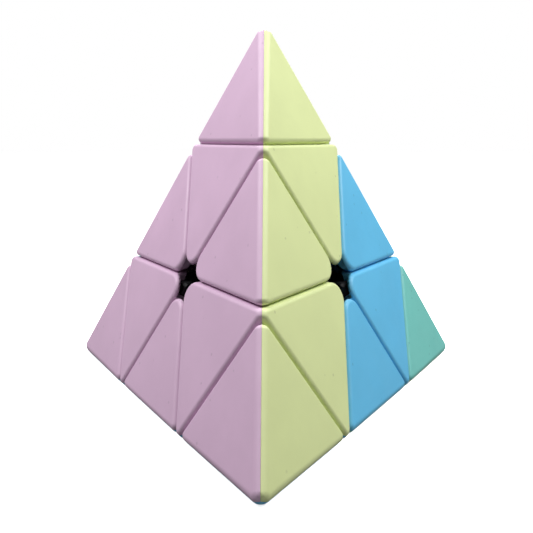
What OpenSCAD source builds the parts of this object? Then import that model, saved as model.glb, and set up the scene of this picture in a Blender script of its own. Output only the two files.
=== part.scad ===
// Pyramid twisty puzzle with three layers: four corner tips, four axial blocks and six edge
// blocks, held on a four-armed core by sprung screws. The origin is the core's centre, and
// every layer and tip turns about an axis through it. One layer and its tip are turned by a
// third of a turn from the solved state, which shows in the colours alone.

/* [Puzzle] */
// Edge of the pyramid before its corners are rounded
edge_length = 105; // [100:1:110]
// Gap between two blocks that turn past each other
layer_gap = 0.3; // [0.25:0.05:0.5]

/* [Shells] */
// Wall of the coloured shells
shell_wall = 1.8; // [1.5:0.1:2]
// Rounding of the pyramid's four corners
corner_round = 1.8; // [1.6:0.1:2.6]
// Rounding of a block's other corners and borders
border_round = 1; // [0.8:0.1:1.5]
// Rounding of the block corners that meet at a face's centre
centre_round = 1.6; // [1.2:0.1:2]

/* [Mechanism] */
// Radius of the core's arms and of the stems that turn on them
stem_radius = 4.6; // [4.4:0.1:4.8]
// Radius of the axle screws
screw_radius = 1.5; // [1.4:0.05:1.6]
// Radius of the axle screws' heads
screw_head_radius = 2.9; // [2.7:0.1:3]
// Radius of the spring wire
wire_radius = 0.35; // [0.3:0.01:0.4]
// Radius of the split pin that each tip turns on
pin_radius = 3; // [2.8:0.1:3.1]
// Half-angle of the cone that bounds a layer's hooks
hook_angle = 67; // [65:1:68]

/* [Colours] */
// Left face of the solved puzzle
left_colour = "#d3b6d3";
// Right face of the solved puzzle
right_colour = "#e2e9b0";
// Back face of the solved puzzle
back_colour = "#86cdbf";
// Bottom face of the solved puzzle
bottom_colour = "#6cbce0";
// Inner pieces
inner_colour = "#26262a";
// Screws, springs and washers
metal_colour = "#b9bcc2";

/* [Hidden] */

$fn = 64;

// Directions from the core's centre to the pyramid's corners
top = [0, 0, 1];
front = [0, -sqrt(8) / 3, -1 / 3];
left = [-sqrt(6) / 3, sqrt(2) / 3, -1 / 3];
right = [sqrt(6) / 3, sqrt(2) / 3, -1 / 3];
corners = [top, front, left, right];

// Distances from the core's centre
corner_distance = edge_length * sqrt(6) / 4;
face_distance = corner_distance / 3;
layer_distance = corner_distance / 9;
tip_distance = corner_distance * 5 / 9;
half_gap = layer_gap / 2;

// Spheres about the core's centre that bound the hooks, the carriers and the shells
running_gap = 0.2;
hook_inner = layer_distance * 1.6;
hook_outer = layer_distance * 2.2;
carrier_inner = hook_outer + running_gap;
shell_inner = layer_distance * 2.45;
carrier_top = layer_distance * 2.5;
carrier_middle = (carrier_inner + carrier_top) / 2;
edge_block_outer = layer_distance * 3.3;

// Heights along an axle, from the core's centre
hub_radius = 7;
arm_bottom = 4;
arm_top = layer_distance * 1.5;
stem_bottom = arm_top + running_gap;
spring_floor = stem_bottom + 2.6;
spring_top = spring_floor + 6.8;
washer_top = spring_top + 0.7;
screw_bottom = 3.6;
screw_head_height = 2.2;
pin_bottom = washer_top + screw_head_height + 2.6;
barb_bottom = pin_bottom + 1;
barb_height = 1.4;
barb_depth = 0.5;

chamber_radius = pin_radius + 0.3;
tube_radius = chamber_radius + 1.9;
socket_radius = tube_radius + 0.1;
inner_clearance = 0.05;
far = edge_length;

// A plane is its outward normal and its distance from the core's centre
function plane(normal, distance) = [normal, distance];
function inset(p, by) = [p[0], p[1] - by];
function unit(v) = v / norm(v);

// The point where three planes meet
function meet(a, b, c) =
  (a[1] * cross(b[0], c[0]) + b[1] * cross(c[0], a[0]) + c[1] * cross(a[0], b[0]))
  / (a[0] * cross(b[0], c[0]));

// The part of a ball, set into a corner of three planes, that faces outward. With over_b or
// over_c set to 1, only the points that face the first plane at least as much as that one
function round_corner(a, b, c, radius, steps, over_b = 0, over_c = 0) =
  let (middle = meet(inset(a, radius), inset(b, radius), inset(c, radius)))
  [for (i = [0 : steps]) for (j = [0 : steps - i])
    let (k = steps - i - j)
    if (i >= over_b * j && i >= over_c * k)
      middle + radius * unit(i * a[0] + j * b[0] + k * c[0])];

module convex(points) {
  hull() polyhedron(points = points, faces = [[for (i = [0 : len(points) - 1]) i]]);
}

// A third of everything around the top axle
module third(side) {
  rotate(90 + side * 240)
    linear_extrude(height = 2 * far, center = true)
      polygon([[0, 0], [far, -far * sqrt(3)], [far, far * sqrt(3)]]);
}

// Stands an upright piece on another axle
module on_axle(axis) {
  rotate(a = 180, v = top + axis) children();
}

module every_axle() {
  for (axis = corners) {
    rotate(a = axis == top ? 0 : 180, v = top + axis) children();
  }
}

// ---- Tips, drawn on the top corner ----
tip_planes = [
  plane(-front, face_distance),
  plane(-left, face_distance),
  plane(-right, face_distance),
  plane(-top, -tip_distance - half_gap)
];

// The third of a tip under one outer face, with its seams through the ridges and the axle
module tip_third(side) {
  own = tip_planes[side];
  next = tip_planes[(side + 1) % 3];
  last = tip_planes[(side + 2) % 3];
  under = tip_planes[3];
  convex(concat(
    round_corner(own, next, last, corner_round, 6, 1, 1),
    round_corner(own, next, under, border_round, 4, 1, 0),
    round_corner(own, last, under, border_round, 4, 1, 0),
    [[0, 0, base_bottom]]
  ));
}

// Radius of the tip's conical hollow at a height, for a wall of some thickness
function hollow_radius(height, wall) = (face_distance - wall - height / 3) / sqrt(8 / 9);
function hollow_height(radius, wall) = 3 * (face_distance - wall - radius * sqrt(8 / 9));

base_bottom = tip_distance + half_gap;
base_floor = base_bottom + shell_wall;

module tip_hollow() {
  narrow = 0.8;
  translate([0, 0, base_floor])
    cylinder(
      r1 = hollow_radius(base_floor, shell_wall),
      r2 = narrow,
      h = hollow_height(narrow, shell_wall) - base_floor
    );
}

module tip_shell(side) {
  difference() {
    tip_third(side);
    tip_hollow();
    cylinder(r = socket_radius, h = base_floor + 1);
  }
}

// Base and hollow split pin in one turned shape
module tip_base() {
  barb_radius = pin_radius + barb_depth;
  bore_radius = pin_radius - 1.2;
  seat = base_floor + inner_clearance;
  base_top = base_floor + 3;
  base_wall = shell_wall + inner_clearance;
  difference() {
    rotate_extrude()
      polygon([
        [bore_radius, pin_bottom], [pin_radius - 0.3, pin_bottom],
        [barb_radius - 0.2, barb_bottom], [barb_radius - 0.2, barb_bottom + barb_height / 2],
        [pin_radius, barb_bottom + barb_height], [pin_radius, base_bottom],
        [tube_radius, base_bottom], [tube_radius, seat],
        [hollow_radius(seat, base_wall), seat], [hollow_radius(base_top, base_wall), base_top],
        [0, base_top], [0, base_bottom + 1], [bore_radius, base_bottom + 1]
      ]);
    for (turn = [0, 90]) {
      rotate(turn) translate([-0.5, -far, pin_bottom - 1]) cube([1, 2 * far, 5]);
    }
  }
}

// ---- Axial blocks, drawn on the top axle ----
function axial_planes(wall) = [
  plane(-front, face_distance - wall),
  plane(-left, face_distance - wall),
  plane(-right, face_distance - wall),
  plane(front, layer_distance - half_gap - wall),
  plane(left, layer_distance - half_gap - wall),
  plane(right, layer_distance - half_gap - wall),
  plane(top, tip_distance - half_gap - wall),
  plane(-top, -layer_distance - half_gap - wall)
];

module axial_body(wall, border, centre, steps) {
  p = axial_planes(wall);
  // upper corners lie on the ridges, lower ones at the face centres
  convex([
    for (side = [0 : 2])
      let (next = (side + 1) % 3, last = (side + 2) % 3)
      each concat(
        round_corner(p[6], p[3 + side], p[next], border, steps),
        round_corner(p[6], p[3 + side], p[last], border, steps),
        round_corner(p[side], p[3 + next], p[3 + last], centre, steps),
        round_corner(p[7], p[3 + next], p[3 + last], centre, steps)
      )
  ]);
}

module axial_shell(side) {
  intersection() {
    third(side);
    difference() {
      axial_body(0, border_round, centre_round, 3);
      axial_body(shell_wall, 0.6, 0.6, 1);
      sphere(r = carrier_inner);
      cylinder(r = socket_radius, h = far);
    }
  }
}

// Stem and tube in one, with the screw's hole, the spring's chamber and the pin's groove
module axial_stem() {
  tube_top = tip_distance - half_gap;
  hole_radius = screw_radius + running_gap;
  groove_radius = pin_radius + barb_depth + 0.1;
  groove_bottom = barb_bottom - running_gap;
  groove_top = barb_bottom + barb_height + running_gap;
  rotate_extrude()
    polygon([
      [hole_radius, stem_bottom], [stem_radius, stem_bottom],
      [stem_radius, carrier_middle], [tube_radius, carrier_middle],
      [tube_radius, tube_top], [chamber_radius, tube_top],
      [chamber_radius, groove_top], [groove_radius, groove_top],
      [groove_radius, groove_bottom], [chamber_radius, groove_bottom],
      [chamber_radius, spring_floor], [hole_radius, spring_floor]
    ]);
}

module axial_carrier() {
  difference() {
    intersection() {
      axial_body(shell_wall + inner_clearance, 0.6, 0.6, 1);
      cylinder(r = far, h = carrier_top);
    }
    sphere(r = carrier_inner);
    cylinder(r = stem_radius - 0.5, h = far);
  }
  axial_stem();
}

// ---- Edge blocks, drawn between the top and the front corner ----
function edge_planes(wall) = [
  plane(-left, face_distance - wall),
  plane(-right, face_distance - wall),
  plane(-top, -layer_distance - half_gap - wall),
  plane(-front, -layer_distance - half_gap - wall)
];

module edge_body(wall, border, centre, steps) {
  p = edge_planes(wall);
  convex(concat(
    round_corner(p[0], p[1], p[2], border, steps),
    round_corner(p[0], p[1], p[3], border, steps),
    round_corner(p[0], p[2], p[3], centre, steps),
    round_corner(p[1], p[2], p[3], centre, steps)
  ));
}

module edge_shell(side) {
  intersection() {
    translate([side * far, 0, 0]) cube(2 * far, center = true);
    difference() {
      edge_body(0, border_round, centre_round, 4);
      edge_body(shell_wall, 0.6, 0.6, 2);
      sphere(r = shell_inner);
    }
  }
}

// How far a hook may reach towards either axle, as an angle from the edge's own direction,
// to stay inside both layers' cones at an angle across
function hook_reach(across) =
  let (inward = cos(across) / sqrt(3), sideways = sqrt(2 / 3))
  acos(cos(hook_angle) / norm([inward, sideways])) - atan2(sideways, inward);

function hook_direction(across, along) =
  cos(along) * (cos(across) * unit(top + front) + [sin(across), 0, 0])
  + sin(along) * unit(top - front);

module hook_sector() {
  convex(concat([[0, 0, 0]], [
    for (across = [-42 : 14 : 42]) for (side = [-1, 1])
      2 * hook_outer * hook_direction(across, side * hook_reach(across))
  ]));
}

module edge_hook() {
  difference() {
    union() {
      intersection() {
        sphere(r = hook_outer);
        hook_sector();
      }
      intersection() {
        edge_body(0, border_round, centre_round, 4);
        sphere(r = shell_inner - inner_clearance);
      }
      intersection() {
        edge_body(shell_wall + inner_clearance, 0.6, 0.6, 2);
        sphere(r = edge_block_outer);
      }
    }
    sphere(r = hook_inner);
  }
}

// ---- Core and axle hardware ----
module core() {
  color(inner_colour)
    difference() {
      union() {
        sphere(r = hub_radius);
        every_axle()
          translate([0, 0, arm_bottom]) cylinder(r = stem_radius, h = arm_top - arm_bottom);
      }
      every_axle()
        translate([0, 0, screw_bottom - 0.4]) cylinder(r = screw_radius + 0.05, h = far);
    }
}

module axle_screw() {
  difference() {
    union() {
      translate([0, 0, screw_bottom]) cylinder(r = screw_radius, h = washer_top - screw_bottom);
      translate([0, 0, washer_top]) cylinder(r = screw_head_radius, h = screw_head_height);
    }
    for (turn = [0, 90]) {
      rotate(turn)
        translate([-1.6, -0.4, washer_top + 0.9]) cube([3.2, 0.8, screw_head_height]);
    }
  }
}

module axle_screws() {
  color(metal_colour) every_axle() axle_screw();
}

module axle_washers() {
  color(metal_colour)
    every_axle()
      translate([0, 0, spring_top + inner_clearance])
        difference() {
          cylinder(r = screw_head_radius, h = washer_top - spring_top - 2 * inner_clearance);
          translate([0, 0, -1]) cylinder(r = screw_radius + 0.1, h = 3);
        }
}

// One wire swept along a helix, as rings of points joined into a tube
spring_turns = 4.5;
ring_sides = 6;
rings = 64;
coil_radius = (screw_radius + chamber_radius) / 2;
coil_rise = spring_top - spring_floor - 2 * wire_radius - 4 * inner_clearance;

function coil_point(ring, side) =
  let (
    turn = 360 * spring_turns * ring / rings,
    around = 360 * side / ring_sides,
    out = coil_radius + wire_radius * cos(around)
  )
  [out * cos(turn), out * sin(turn), coil_rise * ring / rings + wire_radius * sin(around)];

module axle_spring() {
  points = [for (ring = [0 : rings]) for (side = [0 : ring_sides - 1]) coil_point(ring, side)];
  sides = [
    for (ring = [0 : rings - 1]) for (side = [0 : ring_sides - 1])
      let (
        next = (side + 1) % ring_sides,
        here = ring * ring_sides,
        there = here + ring_sides
      )
      each [
        [here + side, here + next, there + next],
        [here + side, there + next, there + side]
      ]
  ];
  first = [for (side = [0 : ring_sides - 1]) ring_sides - 1 - side];
  last = [for (side = [0 : ring_sides - 1]) rings * ring_sides + side];
  translate([0, 0, spring_floor + wire_radius + 2 * inner_clearance])
    polyhedron(points = points, faces = concat(sides, [first, last]));
}

module axle_springs() {
  color(metal_colour) every_axle() axle_spring();
}

// ---- The four tips. Sides are those of the same faces on the top corner ----
back_side = 0;
right_side = 1;
left_side = 2;

module top_tip_base() { color(inner_colour) tip_base(); }
module top_tip_left_shell() { color(left_colour) tip_shell(left_side); }
module top_tip_right_shell() { color(right_colour) tip_shell(right_side); }
module top_tip_back_shell() { color(back_colour) tip_shell(back_side); }

module front_tip_base() { color(inner_colour) on_axle(front) tip_base(); }
module front_tip_left_shell() { color(left_colour) on_axle(front) tip_shell(right_side); }
module front_tip_right_shell() { color(right_colour) on_axle(front) tip_shell(left_side); }
module front_tip_bottom_shell() { color(bottom_colour) on_axle(front) tip_shell(back_side); }

module left_tip_base() { color(inner_colour) on_axle(left) tip_base(); }
module left_tip_left_shell() { color(left_colour) on_axle(left) tip_shell(back_side); }
module left_tip_back_shell() { color(back_colour) on_axle(left) tip_shell(left_side); }
module left_tip_bottom_shell() { color(bottom_colour) on_axle(left) tip_shell(right_side); }

module right_tip_base() { color(inner_colour) on_axle(right) tip_base(); }
module right_tip_right_shell() { color(back_colour) on_axle(right) tip_shell(back_side); }
module right_tip_back_shell() { color(bottom_colour) on_axle(right) tip_shell(right_side); }
module right_tip_bottom_shell() { color(right_colour) on_axle(right) tip_shell(left_side); }

// ---- The four axial blocks ----
module top_axial_carrier() { color(inner_colour) axial_carrier(); }
module top_axial_left_shell() { color(left_colour) axial_shell(left_side); }
module top_axial_right_shell() { color(right_colour) axial_shell(right_side); }
module top_axial_back_shell() { color(back_colour) axial_shell(back_side); }

module front_axial_carrier() { color(inner_colour) on_axle(front) axial_carrier(); }
module front_axial_left_shell() { color(left_colour) on_axle(front) axial_shell(right_side); }
module front_axial_right_shell() { color(right_colour) on_axle(front) axial_shell(left_side); }
module front_axial_bottom_shell() { color(bottom_colour) on_axle(front) axial_shell(back_side); }

module left_axial_carrier() { color(inner_colour) on_axle(left) axial_carrier(); }
module left_axial_left_shell() { color(left_colour) on_axle(left) axial_shell(back_side); }
module left_axial_back_shell() { color(back_colour) on_axle(left) axial_shell(left_side); }
module left_axial_bottom_shell() { color(bottom_colour) on_axle(left) axial_shell(right_side); }

module right_axial_carrier() { color(inner_colour) on_axle(right) axial_carrier(); }
module right_axial_right_shell() { color(bottom_colour) on_axle(right) axial_shell(back_side); }
module right_axial_back_shell() { color(right_colour) on_axle(right) axial_shell(right_side); }
module right_axial_bottom_shell() { color(back_colour) on_axle(right) axial_shell(left_side); }

// ---- The six edge blocks, each turned into place from the top front one ----
module to_top_left() { rotate(240) children(); }
module to_top_right() { rotate(120) children(); }
module to_front_left() { on_axle(left) rotate(120) children(); }
module to_front_right() { on_axle(right) rotate(240) children(); }
module to_left_right() { on_axle(left) children(); }

module top_front_edge_hook() { color(inner_colour) edge_hook(); }
module top_front_edge_left_shell() { color(left_colour) edge_shell(-1); }
module top_front_edge_right_shell() { color(right_colour) edge_shell(1); }

module top_left_edge_hook() { color(inner_colour) to_top_left() edge_hook(); }
module top_left_edge_left_shell() { color(left_colour) to_top_left() edge_shell(1); }
module top_left_edge_back_shell() { color(back_colour) to_top_left() edge_shell(-1); }

module top_right_edge_hook() { color(inner_colour) to_top_right() edge_hook(); }
module top_right_edge_right_shell() { color(bottom_colour) to_top_right() edge_shell(-1); }
module top_right_edge_back_shell() { color(right_colour) to_top_right() edge_shell(1); }

module front_left_edge_hook() { color(inner_colour) to_front_left() edge_hook(); }
module front_left_edge_left_shell() { color(left_colour) to_front_left() edge_shell(1); }
module front_left_edge_bottom_shell() { color(bottom_colour) to_front_left() edge_shell(-1); }

module front_right_edge_hook() { color(inner_colour) to_front_right() edge_hook(); }
module front_right_edge_right_shell() { color(bottom_colour) to_front_right() edge_shell(-1); }
module front_right_edge_bottom_shell() { color(back_colour) to_front_right() edge_shell(1); }

module left_right_edge_hook() { color(inner_colour) to_left_right() edge_hook(); }
module left_right_edge_back_shell() { color(right_colour) to_left_right() edge_shell(-1); }
module left_right_edge_bottom_shell() { color(back_colour) to_left_right() edge_shell(1); }

// ---- Drawing: the whole puzzle, or one node ----
core();
axle_screws();
axle_springs();
axle_washers();
top_tip_base();
top_tip_left_shell();
top_tip_right_shell();
top_tip_back_shell();
front_tip_base();
front_tip_left_shell();
front_tip_right_shell();
front_tip_bottom_shell();
left_tip_base();
left_tip_left_shell();
left_tip_back_shell();
left_tip_bottom_shell();
right_tip_base();
right_tip_right_shell();
right_tip_back_shell();
right_tip_bottom_shell();
top_axial_carrier();
top_axial_left_shell();
top_axial_right_shell();
top_axial_back_shell();
front_axial_carrier();
front_axial_left_shell();
front_axial_right_shell();
front_axial_bottom_shell();
left_axial_carrier();
left_axial_left_shell();
left_axial_back_shell();
left_axial_bottom_shell();
right_axial_carrier();
right_axial_right_shell();
right_axial_back_shell();
right_axial_bottom_shell();
top_front_edge_hook();
top_front_edge_left_shell();
top_front_edge_right_shell();
top_left_edge_hook();
top_left_edge_left_shell();
top_left_edge_back_shell();
top_right_edge_hook();
top_right_edge_right_shell();
top_right_edge_back_shell();
front_left_edge_hook();
front_left_edge_left_shell();
front_left_edge_bottom_shell();
front_right_edge_hook();
front_right_edge_right_shell();
front_right_edge_bottom_shell();
left_right_edge_hook();
left_right_edge_back_shell();
left_right_edge_bottom_shell();
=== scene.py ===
import math

import bmesh
import bpy
from mathutils import Matrix, Vector


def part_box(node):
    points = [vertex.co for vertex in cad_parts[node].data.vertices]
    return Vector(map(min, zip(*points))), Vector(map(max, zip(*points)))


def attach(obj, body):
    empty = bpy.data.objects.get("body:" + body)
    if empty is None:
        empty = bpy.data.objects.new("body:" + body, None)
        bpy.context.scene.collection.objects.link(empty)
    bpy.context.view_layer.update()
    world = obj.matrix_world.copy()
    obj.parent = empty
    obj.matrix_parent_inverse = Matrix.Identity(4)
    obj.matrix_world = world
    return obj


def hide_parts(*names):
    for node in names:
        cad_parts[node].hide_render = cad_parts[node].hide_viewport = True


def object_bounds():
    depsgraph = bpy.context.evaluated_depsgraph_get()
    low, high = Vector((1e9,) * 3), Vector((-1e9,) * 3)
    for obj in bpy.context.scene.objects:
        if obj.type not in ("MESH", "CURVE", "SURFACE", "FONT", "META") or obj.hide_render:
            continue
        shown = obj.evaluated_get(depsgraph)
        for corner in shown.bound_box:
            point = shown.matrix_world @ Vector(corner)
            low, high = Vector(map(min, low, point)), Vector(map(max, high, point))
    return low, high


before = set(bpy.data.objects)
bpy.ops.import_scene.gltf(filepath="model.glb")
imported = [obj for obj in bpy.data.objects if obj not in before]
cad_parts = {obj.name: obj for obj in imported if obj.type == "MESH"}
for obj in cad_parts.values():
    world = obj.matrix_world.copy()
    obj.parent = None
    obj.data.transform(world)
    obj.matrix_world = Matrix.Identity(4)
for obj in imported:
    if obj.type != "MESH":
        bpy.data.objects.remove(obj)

cad_low, cad_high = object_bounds()
floor_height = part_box("front_tip_bottom_shell")[0].z
MM = 0.001                # the shells are worked out in mm, and scaled by this when placed

# ---------------------------------------------------------------- the puzzle's own measures, in mm
# The bottom face lies a third of the corner distance under the core's centre.
FACE_DISTANCE = -floor_height / MM
LAYER_DISTANCE = FACE_DISTANCE / 3
TIP_DISTANCE = FACE_DISTANCE * 5 / 3
HALF_GAP = 0.14           # half of the gap between two blocks
WALL = 1.8                # thickness of a coloured shell
TOP = Vector((0, 0, 1))
FRONT = Vector((0, -math.sqrt(8) / 3, -1 / 3))
LEFT = Vector((-math.sqrt(6) / 3, math.sqrt(2) / 3, -1 / 3))
RIGHT = Vector((math.sqrt(6) / 3, math.sqrt(2) / 3, -1 / 3))

BORDER_BALL = 1.0         # radius of every border
RIDGE_TURN = 0.5          # extra rounding of a ridge, over the border's
CENTRE_TURN = 2.6         # extra rounding of the corners at a face's centre
CORNER_BALL = 1.9         # radius of the pyramid's four corners
INNER_BALL = 0.5          # the same two on the inside of a shell
INNER_TURN = 1.3
CAP_STEPS = 6             # steps along each side of the patch that rounds such a corner
SHELL_SPHERE = LAYER_DISTANCE * 2.7   # the shells stop at this ball, and the black parts fill it
SOCKET_RADIUS = 5.3       # the round socket that the tip base and the axle pass through
SOCKET_START = -1.0
SOCKET_REACH = 3.0        # how far the socket's cutter runs past the tip's gap
TIP_FLOOR = TIP_DISTANCE + 0.15 + WALL   # inner floor of a tip's shells, over half the CAD's gap
TIP_POINT_RADIUS = 0.8    # radius of the blunt top of the hollow in a tip
LAND_INSET = 1.3          # a raised land under each tip keeps light out of the gap
LAND_GAP = 0.04
HOLE_RADIUS = 5.5         # the round opening at each face's centre, under its outer rim
HOLE_RIM = 0.95           # thickness of that rim
HOLE_FLARE = 1.0          # how much wider the opening is at its inner end
HOLE_START = LAYER_DISTANCE * 1.6     # its inner end, from the core's centre
ARC_STEP = math.radians(11)
SEAM_HALF = 0.010         # half of the hairline between two shells of a block
SEAM_ROUND = 0.06         # radius of the edges along that hairline
SEAM_STEPS = 3
MERGE_DISTANCE = 0.006    # points nearer than this become one
FLAT_EDGE = math.radians(0.6)         # an edge that bends less than this isn't rounded
SAME_PLANE = 0.002        # radians between faces that are joined into one


# ---------------------------------------------------------------- planes, corners and rounded hulls
def meet(a, b, c):
    """The point where three planes, each a normal and a distance, meet."""
    (na, da), (nb, db), (nc, dc) = a, b, c
    point = da * nb.cross(nc) + db * nc.cross(na) + dc * na.cross(nb)
    return point / na.dot(nb.cross(nc))


def inset(plane, by):
    """A plane moved inwards."""
    return plane[0], plane[1] - by


def between(a, b, t):
    """A direction on the great arc from a to b."""
    angle = a.angle(b)
    if angle < 1e-6:
        return a.copy()
    return (a * math.sin((1 - t) * angle) + b * math.sin(t * angle)) / math.sin(angle)


def corner_arc(over, first, second, ball, turn):
    """Ball centres on an arc just under one plane, tangent to two others."""
    normal = over[0]
    along_a = first[0] - first[0].dot(normal) * normal
    along_b = second[0] - second[0].dot(normal) * normal
    middle = meet(
        inset(over, ball),
        inset(first, ball + turn * along_a.length),
        inset(second, ball + turn * along_b.length),
    )
    if turn == 0:
        return [middle]
    along_a.normalize()
    along_b.normalize()
    count = max(2, math.ceil(along_a.angle(along_b) / (1.6 * ARC_STEP)))
    return [middle + turn * between(along_a, along_b, i / count) for i in range(count + 1)]


def corner_cap(a, b, c, ball, radius):
    """Ball centres on the outward part of a larger ball set into a corner of three planes."""
    middle = meet(inset(a, radius), inset(b, radius), inset(c, radius))
    return [
        middle + (radius - ball) * (i * a[0] + j * b[0] + (CAP_STEPS - i - j) * c[0]).normalized()
        for i in range(CAP_STEPS + 1)
        for j in range(CAP_STEPS + 1 - i)
    ]


def facing_out(made):
    """Turns a closed mesh's faces outwards."""
    bmesh.ops.recalc_face_normals(made, faces=made.faces)
    if made.calc_volume(signed=True) < 0:
        bmesh.ops.reverse_faces(made, faces=made.faces)
    return made


def hull(points):
    """The convex hull of some points."""
    made = bmesh.new()
    for point in points:
        made.verts.new(point)
    bmesh.ops.remove_doubles(made, verts=made.verts, dist=MERGE_DISTANCE)
    result = bmesh.ops.convex_hull(made, input=made.verts, use_existing_faces=False)
    spare = {v for key in ("geom_interior", "geom_unused") for v in result[key]
             if isinstance(v, bmesh.types.BMVert)}
    spare |= {v for v in made.verts if not v.link_faces}
    bmesh.ops.delete(made, geom=list(spare), context="VERTS")
    return facing_out(made)


def flattened(made):
    """Joins the triangles of each flat face into one face."""
    bmesh.ops.dissolve_limit(made, angle_limit=SAME_PLANE, verts=made.verts, edges=made.edges)
    return made


def ball_points(skeleton, radius):
    """Points of a convex mesh grown by a ball: strips along its edges, caps at its corners."""
    points = []
    caps = {v: [] for v in skeleton.verts}
    for edge in skeleton.edges:
        one, two = (face.normal for face in edge.link_faces)
        angle = one.angle(two)
        if angle < FLAT_EDGE:
            continue
        steps = max(1, math.ceil(angle / ARC_STEP))
        for i in range(steps + 1):
            direction = between(one, two, i / steps)
            for vert in edge.verts:
                caps[vert].append(direction)
                points.append(vert.co + radius * direction)
    for vert, directions in caps.items():
        middle = sum((face.normal * face.calc_area() ** 0.1 for face in vert.link_faces), Vector())
        middle.normalize()
        for direction in directions:
            if middle.angle(direction) > 2 * ARC_STEP:
                points.append(vert.co + radius * between(middle, direction, 0.34))
                points.append(vert.co + radius * between(middle, direction, 0.67))
        points.append(vert.co + radius * middle)
    return points


def rounded(centres, ball, cuts=()):
    """A convex block from its ball centres, cut by planes and rounded along each cut."""
    skeleton = hull(centres)
    skeleton.normal_update()
    if not cuts:
        return flattened(hull(ball_points(skeleton, ball)))
    points = []
    for step in range(SEAM_STEPS + 1):
        angle = math.pi / 2 * step / SEAM_STEPS
        depth = SEAM_ROUND * (1 - math.sin(angle))
        distance = SEAM_HALF + SEAM_ROUND * (1 - math.cos(angle))
        layer = hull(ball_points(skeleton, ball - depth))
        for outward in cuts:
            bmesh.ops.bisect_plane(
                layer, geom=layer.verts[:] + layer.edges[:] + layer.faces[:], dist=1e-6,
                plane_co=-distance * outward, plane_no=outward, clear_outer=True,
            )
        points += [v.co.copy() for v in layer.verts]
        layer.free()
    return flattened(hull(points))


def turned(profile, count=64):
    """A closed solid of revolution about the Z axis, from (radius, height) pairs."""
    made = bmesh.new()
    rings = []
    for radius, height in profile:
        if radius == 0:
            rings.append([made.verts.new((0, 0, height))] * count)
        else:
            rings.append([
                made.verts.new((
                    radius * math.cos(2 * math.pi * i / count),
                    radius * math.sin(2 * math.pi * i / count), height,
                )) for i in range(count)
            ])
    for lower, upper in zip(rings, rings[1:]):
        for i in range(count):
            k = (i + 1) % count
            corners = []
            for vert in (lower[i], lower[k], upper[k], upper[i]):
                if vert not in corners:
                    corners.append(vert)
            made.faces.new(corners)
    return facing_out(made)


def ball_solid(radius):
    """A fine ball about the core's centre."""
    steps = 48
    return turned([
        (0 if i in (0, steps) else radius * math.sin(math.pi * i / steps),
         -radius * math.cos(math.pi * i / steps))
        for i in range(steps + 1)
    ], 96)


def centre_hole(outward):
    """The opening under the rim at the centre of one face."""
    made = turned([
        (0, HOLE_START), (HOLE_RADIUS + HOLE_FLARE, HOLE_START),
        (HOLE_RADIUS, FACE_DISTANCE - HOLE_RIM), (0, FACE_DISTANCE - HOLE_RIM),
    ])
    turn = TOP.rotation_difference(outward).to_matrix()
    bmesh.ops.rotate(made, verts=made.verts, cent=(0, 0, 0), matrix=turn)
    return made


def to_object(made, name):
    """Puts a bmesh into the scene as a new object, and frees it."""
    mesh = bpy.data.meshes.new(name)
    made.to_mesh(mesh)
    made.free()
    shown = bpy.data.objects.new(name, mesh)
    bpy.context.scene.collection.objects.link(shown)
    return shown


def carved(solid, tools, added=()):
    """The solid with the added solids joined on and the tools cut away, as one mesh in mm."""
    body = to_object(solid, "carving")
    cutters = [to_object(tool, "cutter") for tool in list(added) + list(tools)]
    for index, cutter in enumerate(cutters):
        change = body.modifiers.new("cut", "BOOLEAN")
        change.operation = "UNION" if index < len(added) else "DIFFERENCE"
        change.solver = "EXACT"
        change.use_hole_tolerant = True
        change.object = cutter
    graph = bpy.context.evaluated_depsgraph_get()
    mesh = bpy.data.meshes.new_from_object(body.evaluated_get(graph))
    for spent in [body] + cutters:
        data = spent.data
        bpy.data.objects.remove(spent)
        bpy.data.meshes.remove(data)
    return mesh


# ---------------------------------------------------------------- the three prototype shells
OUTER = [(-axis, FACE_DISTANCE) for axis in (FRONT, LEFT, RIGHT)]


def wedge():
    """Two outward cut planes that leave the third of a block about the +Y side."""
    return [Vector((side * math.sin(math.radians(30)), -math.cos(math.radians(30)), 0))
            for side in (-1, 1)]


def tip_shell():
    """The third of a tip block about the +Y side, on the top axle."""
    base = (-TOP, -TIP_DISTANCE - HALF_GAP)
    centres = corner_cap(*OUTER, BORDER_BALL, CORNER_BALL)
    for i in range(3):
        centres += corner_arc(base, OUTER[i], OUTER[(i + 1) % 3], BORDER_BALL, RIDGE_TURN)
    slope = math.sqrt(8 / 9)
    wide = (FACE_DISTANCE - WALL - TIP_FLOOR / 3) / slope
    height = 3 * (FACE_DISTANCE - WALL - TIP_POINT_RADIUS * slope)
    start = TIP_DISTANCE - SOCKET_REACH
    hollow = turned([
        (0, start), (SOCKET_RADIUS, start), (SOCKET_RADIUS, TIP_FLOOR),
        (wide, TIP_FLOOR), (TIP_POINT_RADIUS, height), (0, height),
    ])
    reach = 2 * (FACE_DISTANCE - TIP_DISTANCE / 3) / slope - 2 * LAND_INSET
    lowest = TIP_DISTANCE - HALF_GAP + LAND_GAP
    land = hull([
        Vector((reach * math.cos(math.radians(turn)), reach * math.sin(math.radians(turn)), z))
        + Vector((0, 2 * SEAM_HALF, 0))
        for turn in (30, 150) for z in (lowest, TIP_DISTANCE + 1)
    ] + [Vector((0, 2 * SEAM_HALF, z)) for z in (lowest, TIP_DISTANCE + 1)])
    return carved(rounded(centres, BORDER_BALL, wedge()), [hollow], [land])


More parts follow.
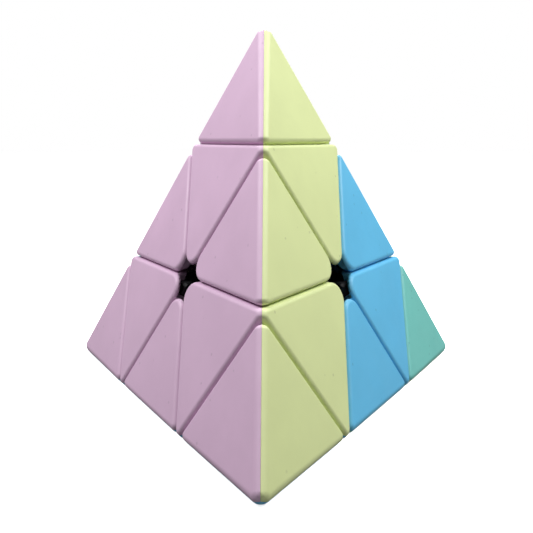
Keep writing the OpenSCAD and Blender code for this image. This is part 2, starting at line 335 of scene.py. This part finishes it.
def axial_centres(wall, ball, ridge_turn, centre_turn):
    """Ball centres of an axial block's corners, its planes moved inwards by wall."""
    walls = [(axis, LAYER_DISTANCE - HALF_GAP - wall) for axis in (FRONT, LEFT, RIGHT)]
    outer = [inset(plane, wall) for plane in OUTER]
    upper = (TOP, TIP_DISTANCE - HALF_GAP - wall)
    lower = (-TOP, -LAYER_DISTANCE - HALF_GAP - wall)
    centres = []
    for i in range(3):
        k, m = (i + 1) % 3, (i + 2) % 3
        for plane in (upper, walls[i]):
            centres += corner_arc(plane, outer[k], outer[m], ball, ridge_turn)
        for plane in (lower, outer[i]):
            centres += corner_arc(plane, walls[k], walls[m], ball, centre_turn)
    return centres


def axial_shell():
    """The third of an axial block about the +Y side, on the top axle."""
    solid = rounded(axial_centres(0, BORDER_BALL, RIDGE_TURN, CENTRE_TURN), BORDER_BALL, wedge())
    inside = rounded(axial_centres(WALL, INNER_BALL, INNER_BALL, INNER_TURN), INNER_BALL)
    end = TIP_DISTANCE + SOCKET_REACH
    socket = turned([
        (0, SOCKET_START), (SOCKET_RADIUS, SOCKET_START), (SOCKET_RADIUS, end), (0, end),
    ])
    return carved(solid, [inside, ball_solid(SHELL_SPHERE), socket, centre_hole(-FRONT)])


def edge_centres(wall, ball, ridge_turn, centre_turn):
    """Ball centres of an edge block's corners, its planes moved inwards by wall."""
    faces = [(-LEFT, FACE_DISTANCE - wall), (-RIGHT, FACE_DISTANCE - wall)]
    walls = [(-axis, -LAYER_DISTANCE - HALF_GAP - wall) for axis in (TOP, FRONT)]
    centres = []
    for i in range(2):
        centres += corner_arc(walls[i], *faces, ball, ridge_turn)
        centres += corner_arc(faces[i], *walls, ball, centre_turn)
    return centres


def edge_shell(side):
    """Half of the edge block between the top and the front corner; side 1 is the half at +X."""
    solid = rounded(
        edge_centres(0, BORDER_BALL, RIDGE_TURN, CENTRE_TURN), BORDER_BALL, [Vector((-side, 0, 0))],
    )
    inside = rounded(edge_centres(WALL, INNER_BALL, INNER_BALL, INNER_TURN), INNER_BALL)
    face = -LEFT if side > 0 else -RIGHT
    return carved(solid, [inside, ball_solid(SHELL_SPHERE), centre_hole(face)])


# ---------------------------------------------------------------- camera
CAMERA_PLACE = (0.00185, -0.1623, 0.0371)
CAMERA_PITCH = 10.25
CAMERA_YAW = 0.48
CAMERA_LENS = 48.05

camera = bpy.data.objects.new("camera", bpy.data.cameras.new("camera"))
camera.location = CAMERA_PLACE
camera.rotation_euler = (math.radians(90 - CAMERA_PITCH), 0, math.radians(CAMERA_YAW))
camera.data.lens = CAMERA_LENS
camera.data.sensor_width = 36
camera.data.clip_start = 0.01
bpy.context.scene.collection.objects.link(camera)
bpy.context.scene.camera = camera


# ---------------------------------------------------------------- materials
class Nodes:
    """A material's node tree, with one short call for each kind of node."""

    def __init__(self, name):
        self.material = bpy.data.materials.new(name)
        self.material.use_nodes = True
        self.tree = self.material.node_tree
        self.shader = self.tree.nodes["Principled BSDF"]
        self.place = self.add("ShaderNodeTexCoord").outputs["Object"]

    def add(self, kind, **settings):
        node = self.tree.nodes.new(kind)
        for key, value in settings.items():
            setattr(node, key, value)
        return node

    def link(self, source, target):
        self.tree.links.new(source, target)

    def noise(self, scale, detail=3.0, roughness=0.55):
        node = self.add("ShaderNodeTexNoise")
        node.inputs["Scale"].default_value = scale
        node.inputs["Detail"].default_value = detail
        node.inputs["Roughness"].default_value = roughness
        self.link(self.place, node.inputs["Vector"])
        return node.outputs["Fac"]

    def spread(self, value, low, high, to_low, to_high):
        """Maps a value's range to another, with smooth ends."""
        node = self.add("ShaderNodeMapRange", interpolation_type="SMOOTHSTEP")
        for key, number in (("From Min", low), ("From Max", high),
                            ("To Min", to_low), ("To Max", to_high)):
            node.inputs[key].default_value = number
        self.link(value, node.inputs["Value"])
        return node.outputs["Result"]

    def maths(self, operation, a, b):
        node = self.add("ShaderNodeMath", operation=operation)
        for socket, value in zip(node.inputs, (a, b)):
            if isinstance(value, (int, float)):
                socket.default_value = value
            else:
                self.link(value, socket)
        return node.outputs["Value"]

    def mix(self, factor, first, second):
        node = self.add("ShaderNodeMix", data_type="RGBA")
        for index, value in ((0, factor), (6, first), (7, second)):
            if isinstance(value, (tuple, float)):
                node.inputs[index].default_value = value
            else:
                self.link(value, node.inputs[index])
        return node.outputs[2]

    def bump(self, height, strength, distance, under=None):
        node = self.add("ShaderNodeBump")
        node.inputs["Strength"].default_value = strength
        node.inputs["Distance"].default_value = distance
        self.link(height, node.inputs["Height"])
        if under is not None:
            self.link(under, node.inputs["Normal"])
        return node.outputs["Normal"]

    def specks(self, scale, radius):
        """1 in small scattered dots, 0 elsewhere."""
        node = self.add("ShaderNodeTexVoronoi")
        node.inputs["Scale"].default_value = scale
        self.link(self.place, node.inputs["Vector"])
        near = self.spread(node.outputs["Distance"], radius * 0.6, radius, 1, 0)
        gate = self.add("ShaderNodeSeparateColor")
        self.link(node.outputs["Color"], gate.inputs["Color"])
        chosen = self.spread(gate.outputs["Red"], 0.80, 0.82, 0, 1)
        return self.maths("MULTIPLY", near, chosen)


def shade(colour, by, lift=0.0):
    """A colour made darker or lighter, and drawn towards white by lift."""
    return tuple(min(1.0, c * by + lift * (1 - c * by)) for c in colour) + (1.0,)


SATIN_ROUGHNESS = 0.48
WEAR_AND_SHEEN = 0.2                # how far the rounded edges go towards the lighter colour: worn edges and a painted highlight


def plastic(name, colour):
    """Satin moulded plastic: faint mottling, fine grain, dust specks, and rounded edges drawn
    lighter, partly wear and partly a painted highlight.
    """
    made = Nodes(name)
    mottle = made.spread(made.noise(70, 4), 0.3, 0.7, 0, 1)
    clouds = made.spread(made.noise(22, 2), 0.3, 0.7, 0, 1)
    base = made.mix(mottle, shade(colour, 0.965), shade(colour, 1.03))
    base = made.mix(made.maths("MULTIPLY", clouds, 0.5), base, shade(colour, 0.985, 0.02))
    base = made.mix(made.maths("MULTIPLY", made.specks(420, 0.16), 0.35), base,
                    shade(colour, 0.55))
    # Painted highlight and wear: the rounded edges are drawn lighter, towards white, as the sheen
    # along them, and the same mask makes them a little smoother
    edge = made.add("ShaderNodeAttribute", attribute_name="edge")
    patchy = made.spread(made.noise(180, 3), 0.35, 0.65, 0.4, 1)
    wear_and_sheen = made.maths("MULTIPLY", edge.outputs["Fac"], patchy)
    base = made.mix(made.maths("MULTIPLY", wear_and_sheen, WEAR_AND_SHEEN), base, shade(colour, 1.06, 0.25))
    made.link(base, made.shader.inputs["Base Color"])
    uneven = made.spread(made.noise(130, 5, 0.65), 0.3, 0.7,
                         SATIN_ROUGHNESS - 0.04, SATIN_ROUGHNESS + 0.06)
    smoother = made.maths("MULTIPLY", wear_and_sheen, 0.08)
    made.link(made.maths("SUBTRACT", uneven, smoother), made.shader.inputs["Roughness"])
    grain = made.bump(made.noise(2600, 2), 0.12, 0.00002)
    waves = made.bump(made.noise(95, 2), 0.10, 0.0001, grain)
    made.link(waves, made.shader.inputs["Normal"])
    made.shader.inputs["IOR"].default_value = 1.5
    made.shader.inputs["Specular IOR Level"].default_value = 0.32
    return made.material


def dark_plastic(name):
    """The inner parts: matte black moulded plastic with a spark-eroded grain."""
    made = Nodes(name)
    mottle = made.spread(made.noise(240, 4), 0.3, 0.7, 0, 1)
    base = made.mix(mottle, (0.008, 0.008, 0.010, 1), (0.016, 0.016, 0.018, 1))
    made.link(base, made.shader.inputs["Base Color"])
    made.link(made.spread(made.noise(160, 4), 0.3, 0.7, 0.42, 0.58),
              made.shader.inputs["Roughness"])
    made.link(made.bump(made.noise(1800, 3), 0.25, 0.00004), made.shader.inputs["Normal"])
    return made.material


def steel(name):
    """Drawn and turned steel, with fine scratches and darker patches."""
    made = Nodes(name)
    patches = made.spread(made.noise(500, 4), 0.35, 0.65, 0, 1)
    base = made.mix(patches, (0.40, 0.40, 0.41, 1), (0.58, 0.58, 0.58, 1))
    made.link(base, made.shader.inputs["Base Color"])
    made.shader.inputs["Metallic"].default_value = 1.0
    made.link(made.spread(made.noise(900, 5), 0.3, 0.7, 0.24, 0.42),
              made.shader.inputs["Roughness"])
    made.link(made.bump(made.noise(3000, 2), 0.15, 0.00002), made.shader.inputs["Normal"])
    return made.material


PINK = plastic("pink_satin_plastic", (0.68, 0.47, 0.64))
YELLOW = plastic("yellow_satin_plastic", (0.74, 0.82, 0.40))
GREEN = plastic("mint_satin_plastic", (0.20, 0.62, 0.56))
BLUE = plastic("blue_satin_plastic", (0.14, 0.55, 0.86))
BLACK = dark_plastic("black_inner_plastic")
STEEL = steel("axle_steel")
SLOTS = {
    "pink": (PINK, "pink_plastic"), "yellow": (YELLOW, "yellow_plastic"),
    "green": (GREEN, "green_plastic"), "blue": (BLUE, "blue_plastic"),
}

# ---------------------------------------------------------------- the 36 coloured shells
# A block's shells are named after the side that each shows at rest.
THIRD = {"back_side": 0, "right_side": 1, "left_side": 2}


def on_axle(axis):
    """Carries a shell from the top axle to another: half a turn about the line between the two."""
    if axis == TOP:
        return Matrix.Identity(4)
    return Matrix.Rotation(math.pi, 4, (TOP + axis).normalized())


def about_top(degrees):
    """A turn about the top axle."""
    return Matrix.Rotation(math.radians(degrees), 4, "Z")


CORNER_SHELLS = {
    "top": (TOP, {
        "left_side": ("left", "pink"), "right_side": ("right", "yellow"),
        "back_side": ("back", "green"),
    }),
    "front": (FRONT, {
        "right_side": ("left", "pink"), "left_side": ("right", "yellow"),
        "back_side": ("bottom", "blue"),
    }),
    "left": (LEFT, {
        "back_side": ("left", "pink"), "left_side": ("back", "green"),
        "right_side": ("bottom", "blue"),
    }),
    "right": (RIGHT, {
        "back_side": ("right", "blue"), "right_side": ("back", "yellow"),
        "left_side": ("bottom", "green"),
    }),
}
# The right-hand tip is turned by a third of a turn against its axial block.
TURNED_TIP = {("right", "back_side"): "green", ("right", "right_side"): "blue",
              ("right", "left_side"): "yellow"}

EDGE_SHELLS = {
    "top_front_edge": (Matrix.Identity(4), {-1: ("left", "pink"), 1: ("right", "yellow")}),
    "top_left_edge": (about_top(240), {1: ("left", "pink"), -1: ("back", "green")}),
    "top_right_edge": (about_top(120), {-1: ("right", "blue"), 1: ("back", "yellow")}),
    "front_left_edge": (
        on_axle(LEFT) @ about_top(120), {1: ("left", "pink"), -1: ("bottom", "blue")}),
    "front_right_edge": (
        on_axle(RIGHT) @ about_top(240), {-1: ("right", "blue"), 1: ("bottom", "green")}),
    "left_right_edge": (on_axle(LEFT), {-1: ("back", "yellow"), 1: ("bottom", "green")}),
}


FLAT_AREA = 25 * MM * MM  # a face larger than this is one of a shell's flat sides
EDGE_START = 0.995        # cosine of the angle to the nearest flat side where the painted edge highlight and wear start
EDGE_RANGE = 0.25         # and how much further the cosine falls before it is full


def mark_edges(mesh):
    """Stores 1 on rounded edges and 0 on flat faces, for the lighter edges in the material, partly
    wear and partly a painted highlight.
    """
    flats = [face.normal.copy() for face in mesh.polygons if face.area > FLAT_AREA]
    edge = mesh.attributes.new("edge", "FLOAT", "POINT")
    for vert in mesh.vertices:
        nearest = max((vert.normal.dot(flat) for flat in flats), default=1.0)
        edge.data[vert.index].value = min(1.0, max(0.0, (EDGE_START - nearest) / EDGE_RANGE))


def place_shell(prototype, matrix, node, body, colour):
    """Adds one shell in place of its CAD node, riding on its body."""
    mesh = prototype.copy()
    mesh.name = node
    mesh.transform(Matrix.Scale(MM, 4) @ matrix)
    mesh.polygons.foreach_set("use_smooth", [True] * len(mesh.polygons))
    mesh.update()
    mark_edges(mesh)
    shell = bpy.data.objects.new(node + "_visual", mesh)
    bpy.context.scene.collection.objects.link(shell)
    even = shell.modifiers.new("even shading", "WEIGHTED_NORMAL")
    even.keep_sharp = False
    even.weight = 80
    material, slot = SLOTS[colour]
    mesh.materials.clear()
    mesh.materials.append(material)
    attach(shell, body)
    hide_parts(node)


tip_prototype = tip_shell()
axial_prototype = axial_shell()
edge_prototypes = {side: edge_shell(side) for side in (-1, 1)}

for corner, (axis, shells) in CORNER_SHELLS.items():
    for side, (face, colour) in shells.items():
        matrix = on_axle(axis) @ about_top(240 * THIRD[side])
        place_shell(axial_prototype, matrix, f"{corner}_axial_{face}_shell",
                    f"{corner}_axial", colour)
        place_shell(tip_prototype, matrix, f"{corner}_tip_{face}_shell",
                    f"{corner}_tip", TURNED_TIP.get((corner, side), colour))
for edge_body, (matrix, shells) in EDGE_SHELLS.items():
    for side, (face, colour) in shells.items():
        place_shell(edge_prototypes[side], matrix, f"{edge_body}_{face}_shell", edge_body, colour)

# ---------------------------------------------------------------- the CAD pieces that stay in view
for name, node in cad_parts.items():
    if node.hide_render:
        continue
    material = STEEL if name.startswith("axle_") else BLACK
    for slot_index in range(len(node.material_slots)):
        node.material_slots[slot_index].material = material

# ---------------------------------------------------------------- floor and light
FLOOR_RADIUS = 3.0
FLOOR_SIDES = 64
ROOM_LIGHT = 0.14
WHITE = (1, 1, 1, 1)
SOFTBOXES = (             # name, place, target, size, power
    ("key_left", (-0.19, -0.015, 0.27), (-0.02, -0.01, 0.03), (0.16, 0.16), 1.0),
    ("key_right", (0.19, -0.015, 0.27), (0.02, -0.01, 0.03), (0.16, 0.16), 1.0),
    ("back_key", (0, 0.2, 0.22), (0, 0, 0.01), (0.2, 0.14), 0.6),
    ("top_fill", (0, 0.02, 0.34), (0, 0, 0.02), (0.3, 0.3), 0.10),
)


def by_ray(tree, others, camera_only):
    """One shader for what the camera sees directly, and another for all other light."""
    path = tree.nodes.new("ShaderNodeLightPath")
    choice = tree.nodes.new("ShaderNodeMixShader")
    tree.links.new(path.outputs["Is Camera Ray"], choice.inputs[0])
    tree.links.new(others.outputs[0], choice.inputs[1])
    tree.links.new(camera_only.outputs[0], choice.inputs[2])
    return choice.outputs[0]


def floor_material():
    """White paper, which sends back less of its light to the puzzle than it shows."""
    made = Nodes("studio_floor")
    tone = made.spread(made.noise(9, 3), 0.3, 0.7, 0, 1)
    made.link(made.mix(tone, (0.87, 0.87, 0.87, 1), (0.89, 0.89, 0.89, 1)),
              made.shader.inputs["Base Color"])
    made.shader.inputs["Roughness"].default_value = 0.85
    made.shader.inputs["Specular IOR Level"].default_value = 0.1
    dim = made.add("ShaderNodeBsdfDiffuse")
    dim.inputs["Color"].default_value = (0.08, 0.08, 0.08, 1)
    made.link(by_ray(made.tree, dim, made.shader), made.tree.nodes["Material Output"].inputs[0])
    return made.material


floor_mesh = bpy.data.meshes.new("floor")
plan = bmesh.new()
rim = [
    plan.verts.new((
        FLOOR_RADIUS * math.cos(2 * math.pi * i / FLOOR_SIDES),
        FLOOR_RADIUS * math.sin(2 * math.pi * i / FLOOR_SIDES),
        cad_low.z,
    )) for i in range(FLOOR_SIDES)
]
plan.faces.new(rim)
plan.to_mesh(floor_mesh)
plan.free()
floor_mesh.materials.append(floor_material())
floor = bpy.data.objects.new("floor", floor_mesh)
bpy.context.scene.collection.objects.link(floor)


def softbox(name, place, target, size, power):
    """A rectangular area light aimed at a point."""
    light = bpy.data.lights.new(name, "AREA")
    light.shape = "RECTANGLE"
    light.size, light.size_y = size
    light.energy = power
    holder = bpy.data.objects.new(name, light)
    holder.location = place
    holder.rotation_euler = (Vector(target) - Vector(place)).to_track_quat("-Z", "Y").to_euler()
    bpy.context.scene.collection.objects.link(holder)


for box in SOFTBOXES:
    softbox(*box)

# Plain daylight on the floor alone, without shadows
overhead = bpy.data.lights.new("overhead", "SUN")
overhead.use_shadow = False
overhead.energy = 3.3
overhead.angle = math.radians(60)
overhead_holder = bpy.data.objects.new("overhead", overhead)
bpy.context.scene.collection.objects.link(overhead_holder)
lit = bpy.data.collections.new("lit_by_overhead")
lit.objects.link(floor)
overhead_holder.light_linking.receiver_collection = lit

# A white studio: full white behind the puzzle, and a softer light from the room itself
world = bpy.data.worlds.new("studio")
world.use_nodes = True
sky = world.node_tree.nodes["Background"]
sky.inputs["Color"].default_value = WHITE
sky.inputs["Strength"].default_value = ROOM_LIGHT
backdrop = world.node_tree.nodes.new("ShaderNodeBackground")
backdrop.inputs["Color"].default_value = WHITE
world.node_tree.links.new(by_ray(world.node_tree, sky, backdrop),
                          world.node_tree.nodes["World Output"].inputs[0])
bpy.context.scene.world = world
bpy.context.scene.view_settings.view_transform = "Standard"
